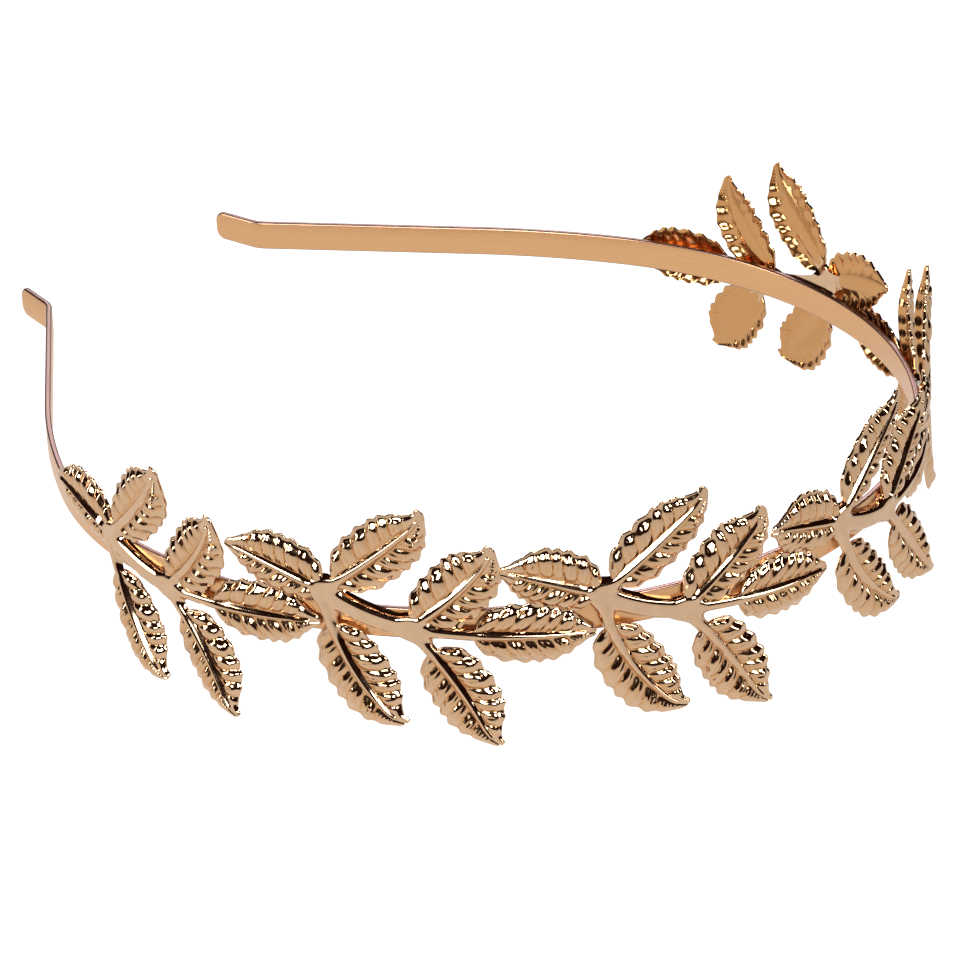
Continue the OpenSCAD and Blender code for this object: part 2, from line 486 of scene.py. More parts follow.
@dataclass(frozen=True)
class HeadPlan:
    """Plan curve of the strip's middle line, with the sizes of the part's source."""

    band_h: float = 5.0
    band_t: float = 1.0
    front_r: float = 69.0
    front_angle: float = 117.0
    side_r: float = 128.0
    side_len: float = 26.0
    arm_len: float = 37.5
    fold_r: float = 5.0
    end_turn: float = 29.0
    end_len: float = 8.0

    def front_half(self) -> float:
        """Length of the round front on either side of its middle."""
        return self.front_r * math.radians(self.front_angle)

    def runs(self) -> tuple[tuple[float, float], ...]:
        """Lists the strip's runs, from the front middle to either end.

        Returns:
            Radius and length of each run, with a radius of 0 for a straight one.
        """
        return (
            (self.front_r, self.front_half()),
            (self.side_r, self.side_len),
            (0.0, self.arm_len),
            (-self.fold_r, self.fold_r * math.radians(self.end_turn)),
            (0.0, self.end_len),
        )

    def half_length(self) -> float:
        """Strip length from the front middle to either end."""
        return sum(length for _, length in self.runs())

    def middle(self, away: np.ndarray) -> tuple[np.ndarray, np.ndarray, np.ndarray]:
        """Follows the strip's middle line on the right-hand side.

        Args:
            away: Strip lengths from the front middle.

        Returns:
            Places to the right and to the back of the front middle, and the headings.
        """
        x, y, heading = np.zeros_like(away), np.zeros_like(away), np.zeros_like(away)
        left = away.copy()
        runs = self.runs()
        for number, (radius, length) in enumerate(runs):
            reach = np.maximum(left, 0.0)
            if number < len(runs) - 1:
                reach = np.minimum(reach, length)
            if radius == 0.0:
                x = x + reach * np.cos(heading)
                y = y + reach * np.sin(heading)
            else:
                turned = heading + reach / radius
                x = x + radius * (np.sin(turned) - np.sin(heading))
                y = y - radius * (np.cos(turned) - np.cos(heading))
                heading = turned
            left = left - length
        return x, y, heading

    def wrap(self, places: np.ndarray) -> np.ndarray:
        """Lays places given along, up and outwards from the strip's middle round the head.

        Args:
            places: Rows of strip length, height and distance outwards.

        Returns:
            Rows of x, y and z round the front middle.
        """
        along, up, out = places.T
        side = np.where(along < 0, -1.0, 1.0)
        x, y, heading = self.middle(np.abs(along))
        return np.stack([side * (x + out * np.sin(heading)), y - out * np.cos(heading), up], axis=1)


@dataclass(frozen=True)
class Seat:
    """Where the strip's front middle lies in the row frame."""

    plan: HeadPlan
    shift: tuple[float, float, float]

    # Depth of the node's rearmost part that holds nothing but the turned ends
    END_DEPTH = 1.0

    @classmethod
    def measured(cls, plan: HeadPlan) -> "Seat":
        """Reads the seat from the turned ends of the strip in the CAD node.

        Args:
            plan: Plan curve whose ends are set on the node's.

        Returns:
            The seat.
        """
        solid = np.array([v.co[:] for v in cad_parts[CAD_NODE].data.vertices]) / MM
        ends = solid[solid[:, 1] > solid[:, 1].max() - cls.END_DEPTH]
        low, high = ends.min(axis=0), ends.max(axis=0)
        half = plan.half_length()
        tips = plan.wrap(np.array([[half, 0.0, side * plan.band_t / 2] for side in (-1, 1)]))
        return cls(plan, ((low[0] + high[0]) / 2, high[1] - tips[:, 1].max(), (low[2] + high[2]) / 2))

    def placed(self, places: np.ndarray) -> np.ndarray:
        """Places in metres in the row frame, from places along, up and outwards on the strip."""
        return (self.plan.wrap(places) + np.array(self.shift)) * MM


@dataclass
class Band:
    """Flat strip bent round the head, with rounded long edges and rounded end corners."""

    seat: Seat
    finish: BrushedGoldPlate = field(default_factory=BrushedGoldPlate)
    corner_r: float = 1.75
    rim_r: float = 0.33
    corner_steps: int = 8
    rim_steps: int = 3
    bend_step: float = 1.5
    fold_step: float = 0.35
    sharp: float = 40.0
    ATTRIBUTE = "strip_mm"

    def stations(self) -> list[float]:
        """Lists where the flat blank gets an edge across it, so that it bends.

        Returns:
            Strip lengths, from the left-hand side to the right-hand side.
        """
        plan = self.seat.plan
        lengths = np.cumsum([length for _, length in plan.runs()])
        bend = np.arange(0.0, lengths[1], self.bend_step)
        fold = np.arange(lengths[2] - self.fold_step, lengths[3] + self.fold_step, self.fold_step)
        right = [*bend[1:], lengths[1], *fold]
        return [-s for s in reversed(right)] + [0.0] + right

    def blank(self) -> bmesh.types.BMesh:
        """Makes the straight strip, which lies along x, stands along y and faces along z.

        Returns:
            The closed strip, in millimetres.
        """
        plan = self.seat.plan
        half = plan.half_length()
        bm = bmesh.new()
        bmesh.ops.create_cube(bm, size=1.0)
        bmesh.ops.scale(bm, vec=(2 * half, plan.band_h, plan.band_t), verts=bm.verts)
        corners = [e for e in bm.edges if abs(e.verts[0].co.z - e.verts[1].co.z) > plan.band_t / 2]
        bmesh.ops.bevel(
            bm, geom=corners, offset=self.corner_r, offset_type="OFFSET", segments=self.corner_steps,
            profile=0.5, affect="EDGES", clamp_overlap=True, material=-1,
        )
        rims = [e for e in bm.edges if abs(e.verts[0].co.z - e.verts[1].co.z) < plan.band_t / 2]
        bmesh.ops.bevel(
            bm, geom=rims, offset=self.rim_r, offset_type="OFFSET", segments=self.rim_steps,
            profile=0.5, affect="EDGES", clamp_overlap=True, material=-1,
        )
        for station in self.stations():
            bmesh.ops.bisect_plane(
                bm, geom=[*bm.verts, *bm.edges, *bm.faces], dist=TOUCH_MM,
                plane_co=(station, 0.0, 0.0), plane_no=(1.0, 0.0, 0.0),
            )
        # These operators list the faces in another order each run.
        bm.verts.index_update()
        count = len(bm.verts)
        bm.faces.sort(key=lambda face: face.verts[0].index * count + face.verts[1].index)
        return bm

    def build(self) -> bpy.types.Object:
        """Bends the blank round the head and dresses it.

        Returns:
            The band.
        """
        bm = self.blank()
        layer = bm.verts.layers.float_vector.new(self.ATTRIBUTE)
        verts = list(bm.verts)
        flat = places_of(verts)
        for vert in verts:
            vert[layer] = vert.co
        move_to(verts, self.seat.placed(flat))
        bmesh.ops.recalc_face_normals(bm, faces=bm.faces)
        return add_piece("band", bm, self.finish.material(), self.sharp)


# Sprays

class Fork(Enum):
    """The two places on a stem where leaves grow."""

    FIRST = 0
    SECOND = 1


@dataclass(frozen=True)
class Twig:
    """How one leaf of a spray grows.

    The stalk and the blade are shares of the leaf's length, the lift is a share of the
    tip's lift, and left is the share by which the left-hand half is the wider one. The
    hook is how far the tip bends to the left, in millimetres.
    """

    fork: Fork
    heading: float
    turn: float
    stalk: float
    blade: float
    lift: float
    lean: float
    left: float
    hook: float


@dataclass(frozen=True)
class Lay:
    """How one spray lies on the band: shift in pitches, lift in band heights, and turn."""

    shift: float
    lift: float
    turn: float


# The leaves of a spray, in the order of the fields above
TWIGS = (
    Twig(Fork.FIRST, 161, -2, 0.03, 0.88, 0.6, -4, -0.12, 0.4),
    Twig(Fork.FIRST, 44.5, 14, 0.19, 1.07, 0.85, 4, 0.03, 1.0),
    Twig(Fork.FIRST, -57, 40, 0.36, 1.04, 1.0, -4, 0.0, 1.0),
    Twig(Fork.SECOND, 50, 29, 0.09, 1.02, 1.0, -8, 0.05, 0.9),
    Twig(Fork.SECOND, -54, -18, 0.32, 0.95, 1.3, 4, 0.0, 1.0),
    Twig(Fork.SECOND, -1, 8, 0.58, 1.0, -0.05, 0, 0.05, -0.3),
)

# Each spray's lay, from the left-hand side
LAYS = (
    Lay(0.0, -0.18, 2.7),
    Lay(-0.035, 0.29, -3.0),
    Lay(-0.08, 0.08, -3.5),
    Lay(-0.08, -0.1, 2.0),
    Lay(-0.07, 0.03, 1.5),
    Lay(0.015, 0.15, 2.3),
)


# An arc that turns by less, in degrees, is drawn straight
STRAIGHT = 0.01


def arc(lengths: np.ndarray, total: float, heading: float, turn: float) -> tuple[np.ndarray, np.ndarray]:
    """Follows a circular arc from the origin.

    Args:
        lengths: Lengths along it.
        total: Its whole length.
        heading: Heading of its chord.
        turn: How much it turns over its whole length.

    Returns:
        Places, one row each, and the headings in radians.
    """
    rate = math.radians(turn) / total
    start = math.radians(heading - turn / 2)
    headings = start + rate * lengths
    if abs(turn) < STRAIGHT:
        return np.stack([lengths * math.cos(start), lengths * math.sin(start)], axis=1), headings
    across = (np.sin(headings) - math.sin(start)) / rate
    up = (math.cos(start) - np.cos(headings)) / rate
    return np.stack([across, up], axis=1), headings


@dataclass(frozen=True)
class Stem:
    """Rounded stem between a spray's two forks."""

    length: float = 14.0
    width: float = 3.6
    rise: float = 1.5
    flatness: float = 5.0
    dip: float = -30.5
    curl: float = 24.0
    bed: float = 0.1

    def path(self, lengths: np.ndarray) -> tuple[np.ndarray, np.ndarray]:
        """Places and headings at lengths from the first fork."""
        return arc(lengths, self.length, self.dip + self.curl / 2, self.curl)

    def fork(self, fork: Fork) -> np.ndarray:
        """Place of a fork in the spray's plan."""
        return np.zeros(2) if fork is Fork.FIRST else self.path(np.array([self.length]))[0][0]


@dataclass(frozen=True)
class Line:
    """Fine lines that follow a leaf's cells on either side of its rib.

    They come so many times to a cell and sway by a share of their spacing. They are
    deepest at one share of the half width and fade over a width on either side of it.
    """

    depth: float
    power: int
    middle: float
    width: float
    times: int = 1
    sway: float = 0.08
    sways: float = 5.0

    def drawn(self, phase: np.ndarray, away: np.ndarray) -> np.ndarray:
        """Draws the lines between the cells' furrows.

        Args:
            phase: Phases of the cells.
            away: Shares of the half width.

        Returns:
            How deep the lines are, up to their full depth.
        """
        count = self.times * phase
        swaying = count + 0.5 + self.sway * np.sin(self.sways * count)
        return self.depth * crease(swaying) ** self.power * hump(away, self.middle, self.width)


@dataclass(frozen=True)
class Leaf:
    """One stamped leaf: puffed cells between side veins, a stepped shoulder and a scalloped rim.

    The cells' slant, wander and side shift are counted in cells. The slant, the scallop, the
    foot and the starts are shares of the blade's length or of its half width. The back has
    a share of the front's relief. The painted shade and satin on the back and in the groove,
    and their fade in the furrows towards the rim, are shares of those of a full furrow.
    """

    length: float = 17.5
    width: float = 9.6
    sheet: float = 0.42
    thin_share: float = 0.55
    thin_half: float = 1.2
    rim_round: float = 0.1
    rib_rise: float = 0.5
    rib_taper: float = 0.35
    tip_lift: float = 2.4
    tip_droop: float = 0.45
    droop_start: float = 0.8
    hook_start: float = 0.79
    slant: float = 0.1
    flat_power: float = 0.8
    cells: int = 7
    cell_rise: float = 0.44
    cell_power: float = 2.4
    cell_slant: float = 0.3
    cell_swell: float = 0.25
    cell_wander: float = 0.1
    side_shift: float = 0.35
    scallop: float = 0.048
    scallop_power: int = 3
    bead_mm: float = 0.58
    bead_rise: float = 0.12
    furrow_power: int = 5
    rim_fade: float = 0.55
    # Share of a full furrow's painted shade and satin in the groove beside the rib
    groove: float = 0.7
    back_share: float = 0.5
    # Share of a full furrow's painted shade and satin on the back of the sheet
    back_satin_and_shade: float = 0.9
    rows: int = 118
    foot: float = -0.035
    ATTRIBUTE = "furrow"

    # Fine veins of the relief, in mm, and how strongly the painted shade and the satin draw them and the
    # lines between
    VEIN = Line(0.16, 6, 0.4, 0.2)
    VEIN_MARK = Line(0.85, 6, 0.42, 0.24)
    FINE_MARK = Line(0.5, 3, 0.5, 0.26, 2, 0.12, 2.0)

    # Shares of the length where the cells start and that they take up
    CELL_SPAN = (-0.01, 0.9)
    # Wander of a hand-cut die: size, waves to a blade, start, and start on the right-hand side
    WANDER = ((1.0, 1.7, 0.0, 0.31), (0.6, 3.4, 0.17, 0.4))
    # Uneven swell of the cells: radians from cell to cell and from side to side
    SWELL = (2.4, 3.0)

    # Zones along the blade, where the relief rises and fades, and where beads and the groove's painted
    # shade and satin do
    RELIEF_START, RELIEF_END = (-0.02, 0.06), (0.74, 0.86)
    BEAD_START, BEAD_END = (0.6, 0.68), (0.88, 0.93)
    GROOVE_END = (0.7, 0.9)
    # Zones across it, where cells round off, a back's relief starts, and the furrows' painted shade and
    # satin start and fade
    ROUND_ZONE, BLUNT_ZONE = (0.66, 0.88), (0.4, 0.62)
    FURROW_START, FURROW_END = (0.08, 0.2), (0.7, 0.95)
    # Middle and width across it of the row of beads and of the painted shade and satin in the groove along
    # the rib
    BEAD_ROW, GROOVE_ROW = (0.52, 0.17), (0.2, 0.08)

    # Half width of the blade, as a share of the leaf's, at shares of its length
    OUTLINE = (
        (-0.035, 0.12), (0.0, 0.42), (0.07, 0.75), (0.2, 0.96), (0.37, 1.0), (0.53, 0.95),
        (0.67, 0.77), (0.77, 0.54), (0.84, 0.38), (0.89, 0.27), (0.93, 0.21), (0.97, 0.17),
        (0.99, 0.12), (1.0, 0.05),
    )
    # Height of the pressed sheet in mm, at shares of its half width
    SECTION = (
        (0.0, -0.26), (0.13, -0.28), (0.22, -0.2), (0.34, 0.02), (0.45, 0.13), (0.57, 0.13),
        (0.69, 0.02), (0.78, -0.18), (0.86, -0.5), (0.92, -0.67), (1.0, -0.76),
    )
    # How far the cells stand up, at shares of the half width
    CELL_SHARE = (
        (0.0, 0.0), (0.12, 0.1), (0.26, 0.7), (0.42, 1.0), (0.72, 1.0), (0.85, 0.55), (1.0, 0.28),
    )
    # Shares of the half width at which the front and the back have their vertices, and the share
    # of the sheet's thickness at which the rounded rim has one
    COLUMNS = (
        0.0, 0.06, 0.1, 0.14, 0.18, 0.23, 0.28, 0.33, 0.38, 0.44, 0.5, 0.57, 0.63, 0.69,
        0.74, 0.78, 0.82, 0.86, 0.9, 0.94, 0.97, 1.0,
    )
    RIM_DEPTH = 0.5
    BACK_COLUMNS = (0.0, 0.15, 0.3, 0.45, 0.58, 0.69, 0.78, 0.86, 0.94, 1.0)

    def half_width(self, u: np.ndarray) -> np.ndarray:
        """Half width of the blade at shares of its length, before the scallops."""
        return smooth_table(u, self.OUTLINE) * self.width / 2

    def phase(self, u: np.ndarray, across: np.ndarray) -> np.ndarray:
        """Counts the cells from the foot, with the slight wander of a hand-cut die.

        Args:
            u: Shares of the blade's length.
            across: Shares of its half width, negative on the right-hand side.

        Returns:
            Whole numbers in the furrows and halves on the crowns.
        """
        side = np.where(across < 0, 1.0, 0.0)
        wander = sum(
            size * np.sin(2 * math.pi * (waves * u + start + other * side))
            for size, waves, start, other in self.WANDER
        )
        first, span = self.CELL_SPAN
        straight = self.cells * (u - first) / span + self.side_shift * side
        return straight - self.cell_slant * np.abs(across) + self.cell_wander * wander

    def faded(self, u: np.ndarray) -> np.ndarray:
        """Share of the cells' relief that is left towards the foot and the tip."""
        return soft_step(u, *self.RELIEF_START) * (1 - soft_step(u, *self.RELIEF_END))

    def relief(self, u: np.ndarray, across: np.ndarray, length: float, blunt: np.ndarray) -> np.ndarray:
        """Relief that is pressed into the blade's upper face: cells, fine veins and beads.

        Args:
            u: Shares of the blade's length.
            across: Shares of its half width, negative on the right-hand side.
            length: Length of the blade.
            blunt: 1 where the sheet's thickness rounds the relief off, as on its back.

        Returns:
            Heights over the pressed sheet.
        """
        away = np.abs(across)
        phase = self.phase(u, across)
        by_cell, by_side = self.SWELL
        outer = soft_step(away, *self.ROUND_ZONE)
        sharp = 1 - crease(phase) ** self.cell_power
        round_one = 0.5 - 0.5 * np.cos(2 * math.pi * phase)
        crown = sharp + (round_one - sharp) * np.maximum(outer, blunt)
        uneven = np.sin(by_cell * np.floor(phase) + by_side * np.sign(across))
        swell = 1 + self.cell_swell * uneven * (1 - outer)
        share = smooth_table(away, self.CELL_SHARE) * (1 - blunt * (1 - soft_step(away, *self.BLUNT_ZONE)))
        cells = self.cell_rise * share * (crown * swell - 0.5)
        veins = -self.VEIN.drawn(phase, away) * (1 - blunt)
        beads = self.bead_rise * np.sin(2 * math.pi * u * length / self.bead_mm)
        beads = beads * hump(away, *self.BEAD_ROW)
        beads = beads * soft_step(u, *self.BEAD_START) * (1 - soft_step(u, *self.BEAD_END))
        return (cells + veins) * self.faded(u) + np.where(across < 0, beads, 0.0)

    def furrow(self, u: np.ndarray, across: np.ndarray) -> np.ndarray:
        """Finds how deep in a furrow places of the upper face are, which sets their painted shade and
        satin.

        Args:
            u: Shares of the blade's length.
            across: Shares of its half width, negative on the right-hand side.

        Returns:
            0 on the open face to 1 at the bottom of a furrow.
        """
        away = np.abs(across)
        phase = self.phase(u, across)
        cell = crease(phase) ** self.furrow_power * (1 - self.rim_fade * soft_step(away, *self.FURROW_END))
        lines = np.maximum(cell * soft_step(away, *self.FURROW_START), self.VEIN_MARK.drawn(phase, away))
        lines = np.maximum(lines, self.FINE_MARK.drawn(phase, away))
        # Painted shade and satin along the groove beside the rib
        groove = self.groove * hump(away, *self.GROOVE_ROW)
        return np.maximum(lines * self.faded(u), groove * (1 - soft_step(u, *self.GROOVE_END)))

    def pressed(self, u: np.ndarray, across: np.ndarray) -> np.ndarray:
        """Height of the pressed sheet over the leaf's middle surface, without its relief."""
        wide = np.minimum(self.half_width(u) * 2 / self.width, 1.0)
        return smooth_table(np.abs(across), self.SECTION) * wide ** self.flat_power

    def ring(self) -> tuple[np.ndarray, np.ndarray, np.ndarray]:
        """Lists the points round a section of the sheet.

        Returns:
            Shares of the half width, shares of the sheet's thickness below the upper
            face, and how far each point stands out past the rim.
        """
        front = np.array(self.COLUMNS)
        back = np.array(self.BACK_COLUMNS)
        across = np.concatenate([-front[::-1], front[1:], [1.0], back[::-1], -back[1:], [-1.0], [-1.0]])
        faces = np.zeros(2 * len(front) - 1), np.ones(2 * len(back) - 1)
        depth = np.concatenate([faces[0], [self.RIM_DEPTH], faces[1], [self.RIM_DEPTH], [0.0]])
        proud = np.where(depth == self.RIM_DEPTH, 1.0, 0.0)
        return across, depth, proud

    def grow(self, bm: bmesh.types.BMesh, twig: Twig, root: np.ndarray, level: float) -> None:
        """Adds one closed blade to a spray.

        Args:
            bm: The spray, in its own plan.
            twig: How the leaf grows.
            root: Place of its fork.
            level: Height of its middle surface at the fork.
        """
        across, depth, proud = self.ring()
        steps = len(across) - 1
        layer = bm.verts.layers.float.get(self.ATTRIBUTE) or bm.verts.layers.float.new(self.ATTRIBUTE)
        made = bmesh.ops.create_grid(bm, x_segments=self.rows, y_segments=steps, size=1.0)["verts"]
        grid = (places_of(made)[:, :2] + 1) / 2
        row = grid[:, 0]
        column = np.rint(grid[:, 1] * steps).astype(int)
        c, d, p = across[column], depth[column], proud[column]
        stalk, blade = twig.stalk * self.length, twig.blade * self.length
        total = stalk + blade
        u = self.foot + (1 - self.foot) * row
        lengths = stalk + u * blade
        waves = np.cos(2 * math.pi * self.phase(u, c))
        rim = 1 - self.scallop * self.faded(u) * waves * np.abs(c) ** self.scallop_power
        half = self.half_width(u)
        off = c * half * rim * (1 + np.sign(c) * twig.left) + np.sign(c) * p * self.rim_round
        reach = np.sin(math.pi * np.clip(u, 0, 1)) * self.slant * blade * np.abs(c)
        middle, _ = arc(lengths + reach, total, twig.heading, twig.turn)
        _, headings = arc(lengths, total, twig.heading, twig.turn)
        off = off + twig.hook * self.bent(u)
        relief = self.relief(u, c, blade, np.where(d == 1.0, 1.0, 0.0))
        thick = self.thin_share + (1 - self.thin_share) * np.minimum(half / self.thin_half, 1.0)
        upper = self.pressed(u, c) + np.where(d == 1.0, relief * self.back_share, relief)
        droop = self.tip_droop * late(u, self.droop_start)
        out = level + self.lift(twig, lengths / total) - droop + upper - d * (self.sheet * thick)
        out = out + off * math.tan(math.radians(twig.lean)) * np.sin(math.pi / 2 * np.clip(u, 0, 1))
        x = root[0] + middle[:, 0] - off * np.sin(headings)
        y = root[1] + middle[:, 1] + off * np.cos(headings)
        move_to(made, np.stack([x, y, out], axis=1))
        # Painted shade and satin: by furrow depth on the upper face, a fixed share on the back
        for vert, share in zip(made, np.where(d == 0.0, self.furrow(u, c), self.back_satin_and_shade * (d == 1.0))):
            vert[layer] = share
        bmesh.ops.remove_doubles(bm, verts=made, dist=TOUCH_MM)

    def bent(self, u: np.ndarray) -> np.ndarray:
        """Share of the hook at shares of the blade's length."""
        return late(u, self.hook_start)

    def lift(self, twig: Twig, share: np.ndarray) -> np.ndarray:
        """How far a leaf's middle line stands out, at shares of its length from the fork."""
        return twig.lift * self.tip_lift * share ** 2


@dataclass(frozen=True)
class Bar:
    """Rounded bar of a spray's skeleton, sampled along its middle line.

    Each row of the form gives, at one sample, the bar's half width, the height of its
    sole, its rise over the sole, the power of its rounding and the share by which its
    section is a soft bell instead.
    """

    path: np.ndarray
    form: np.ndarray

    # How far round its path a bar is told, and how many places are read at once
    REACH = 3.4
    BATCH = 4000

    def over(self, plan: np.ndarray) -> tuple[np.ndarray, np.ndarray]:
        """Reads the bar over places of the plan.

        Args:
            plan: Rows of x and y.

        Returns:
            Depth inside the bar's outline, which is negative outside, and its form.
        """
        depth = np.full(len(plan), -FAR_MM)
        form = np.tile(self.form.mean(axis=0), (len(plan), 1))
        low, high = self.path.min(axis=0) - self.REACH, self.path.max(axis=0) + self.REACH
        near = np.flatnonzero(np.all((plan > low) & (plan < high), axis=1))
        for part in np.array_split(near, max(1, len(near) // self.BATCH)):
            gaps = np.linalg.norm(plan[part][:, None, :] - self.path[None, :, :], axis=2)
            at = gaps.argmin(axis=1)
            depth[part] = np.maximum(self.form[at, 0] - gaps[np.arange(len(part)), at], -FAR_MM)
            form[part] = self.form[at]
        return depth, form


def soft_max(first: np.ndarray, second: np.ndarray, blend: float) -> np.ndarray:
    """Larger of two numbers, with a fillet where they meet.

    Args:
        first: Numbers.
        second: Numbers for the same places.
        blend: Difference within which they are blended.

    Returns:
        The blended numbers.
    """
    share = np.maximum(blend - np.abs(first - second), 0.0) / blend
    return np.maximum(first, second) + share * share * blend / 4


@dataclass(frozen=True)
class Skeleton:
    """Stem, stalks and ribs of a spray, cast as one smooth branching bar.

    The cast is a height field over a grid of the given pitch, with a web in each fork and
    its bars sampled in small steps. Halves are half widths. The proud part of the stem
    stands over the leaves' middle surface, and a stalk has its own form once it is grown.
    """

    stem: Stem
    leaf: Leaf
    band_t: float
    pitch: float = 0.17
    web: float = 1.7
    web_sharpness: float = 4.0
    sample: float = 0.12
    root_half: float = 1.3
    stalk_half: float = 1.02
    rib_half: float = 1.28
    tip_half: float = 0.5
    taper_power: float = 0.8
    proud: float = 0.3
    grown_length: float = 4.0
    sole_drop: float = 0.55
    sole_rise: float = 0.1
    rib_power: float = 2.8
    rib_bell: float = 0.7
    rib_end: float = 0.9

    # Lengths over which a stalk's sole leaves the strip, and before and past its end those over
    # which it turns to a rib, and the share of the blade over which the rib's sole rises
    SOLE_ZONE = (1.2, 3.6)
    RIB_ZONE = (-1.0, 2.0)
    RISE_ZONE = (0.0, 0.15)
    # Shares of a half width past which a section isn't told, how low the grid is kept, how near
    # to a vertex it is cut, and the slivers that the cut leaves, in mm
    WIDEST = 3.0
    LOWEST = -2.5
    CUT = 1e-5
    SLIVER = 0.02

    def level(self) -> float:
        """Height of the leaves' middle surface at the forks."""
        return self.band_t / 2 + self.stem.rise - self.proud

    def stem_bar(self) -> Bar:
        """Samples the stem from fork to fork.

        Returns:
            The bar.
        """
        lengths = np.arange(0.0, self.stem.length + self.sample, self.sample)
        back = self.band_t / 2 - self.stem.bed
        form = (self.stem.width / 2, back, self.stem.rise + self.stem.bed, self.stem.flatness, 0.0)
        return Bar(self.stem.path(lengths)[0], np.tile(form, (len(lengths), 1)))

    def rib_bar(self, twig: Twig) -> Bar:
        """Samples one leaf's stalk and rib, from its fork to near its tip.

        Args:
            twig: How the leaf grows.

        Returns:
            The bar.
        """
        leaf = self.leaf
        stalk, blade = twig.stalk * leaf.length, twig.blade * leaf.length
        total = stalk + blade
        lengths = np.arange(0.0, stalk + blade * self.rib_end, self.sample)
        u = np.clip((lengths - stalk) / blade, 0.0, 1.0)
        path, headings = arc(lengths, total, twig.heading, twig.turn)
        aside = np.stack([-np.sin(headings), np.cos(headings)], axis=1)
        aside = aside * (twig.hook * leaf.bent(u))[:, None]
        lift = leaf.lift(twig, lengths / total)
        grown = soft_step(lengths, 0.0, self.grown_length)
        top = self.level() + self.proud + (leaf.rib_rise - self.proud) * grown + lift
        top = top - leaf.rib_rise * (1 - leaf.rib_taper) * u
        back = self.band_t / 2 - self.stem.bed
        free = self.level() - self.sole_drop + lift
        sole = back + (free - back) * soft_step(lengths, *self.SOLE_ZONE)
        sole = sole + self.sole_rise * soft_step(u, *self.RISE_ZONE)
        inside = soft_step(lengths, *(stalk + end for end in self.RIB_ZONE))
        half = self.stalk_half + (self.root_half - self.stalk_half) * (1 - grown)
        half = half + (self.rib_half - half) * inside
        half = half + (self.tip_half - self.rib_half) * u ** self.taper_power
        power = self.stem.flatness + (self.rib_power - self.stem.flatness) * grown
        return Bar(
            path + self.stem.fork(twig.fork) + aside,
            np.stack([half, sole, top - sole, power, self.rib_bell * inside], axis=1),
        )

    def section(self, depth: np.ndarray, form: np.ndarray) -> np.ndarray:
        """Height of the skeleton over its sole.

        Args:
            depth: Depths inside its outline.
            form: Rows of form, as a bar has them.

        Returns:
            Heights, negative outside the outline.
        """
        away = np.clip(1 - depth / form[:, 0], 0.0, self.WIDEST)
        bar = 1 - away ** form[:, 3]
        bell = np.where(away < 1, 0.5 + 0.5 * np.cos(math.pi * np.minimum(away, 1.0)), 1 - away)
        return np.maximum(form[:, 2] * (bar + (bell - bar) * form[:, 4]), -FAR_MM)

    def cast(self, bm: bmesh.types.BMesh) -> None:
        """Adds the skeleton to a spray as a closed shape.

        Args:
            bm: The spray, in its own plan.
        """
        bars = [self.stem_bar(), *(self.rib_bar(twig) for twig in TWIGS)]
        points = np.concatenate([bar.path for bar in bars])
        low, high = points.min(axis=0) - FAR_MM, points.max(axis=0) + FAR_MM
        counts = np.ceil((high - low) / self.pitch).astype(int)
        core = bmesh.new()
        sole_layer = core.verts.layers.float.new("sole")
        bmesh.ops.create_grid(core, x_segments=int(counts[0]), y_segments=int(counts[1]), size=1.0)
        verts = list(core.verts)
        plan = low + (places_of(verts)[:, :2] + 1) / 2 * (high - low)
        depth, weights = np.full(len(plan), -FAR_MM), np.zeros(len(plan))
        forms = np.zeros((len(plan), bars[0].form.shape[1]))
        for bar in bars:
            inside, form = bar.over(plan)
            depth = soft_max(depth, inside, self.web)
            weight = np.exp(self.web_sharpness * inside)
            weights += weight
            forms += weight[:, None] * form
        forms /= weights[:, None]
        height, soles = self.section(depth, forms), forms[:, 1]
        move_to(verts, np.column_stack([plan, height]))
        for vert, sole in zip(verts, soles):
            vert[sole_layer] = sole
        far = [vert for vert, rise in zip(verts, height) if rise < self.LOWEST]
        bmesh.ops.delete(core, geom=far, context="VERTS")
        bmesh.ops.bisect_plane(
            core, geom=[*core.verts, *core.edges, *core.faces], dist=self.CUT,
            plane_co=(0.0, 0.0, 0.0), plane_no=(0.0, 0.0, -1.0), clear_outer=True,
        )
        bmesh.ops.remove_doubles(core, verts=core.verts, dist=self.SLIVER)
        rim = [e for e in core.edges if e.is_boundary]
        for vert in {v for e in rim for v in e.verts}:
            vert.co.z = 0.0
        made = bmesh.ops.duplicate(core, geom=[*core.verts, *core.edges, *core.faces])
        flat = [g for g in made["geom"] if isinstance(g, bmesh.types.BMVert)]
        turned = [g for g in made["geom"] if isinstance(g, bmesh.types.BMFace)]
        for vert in flat:
            vert.co.z = 0.0
        bmesh.ops.reverse_faces(core, faces=turned)
        for vert in core.verts:
            vert.co.z += vert[sole_layer]
        bmesh.ops.remove_doubles(core, verts=core.verts, dist=TOUCH_MM)
        mesh = bpy.data.meshes.new("skeleton")
        core.to_mesh(mesh)
        core.free()
        bm.from_mesh(mesh)
        bpy.data.meshes.remove(mesh)


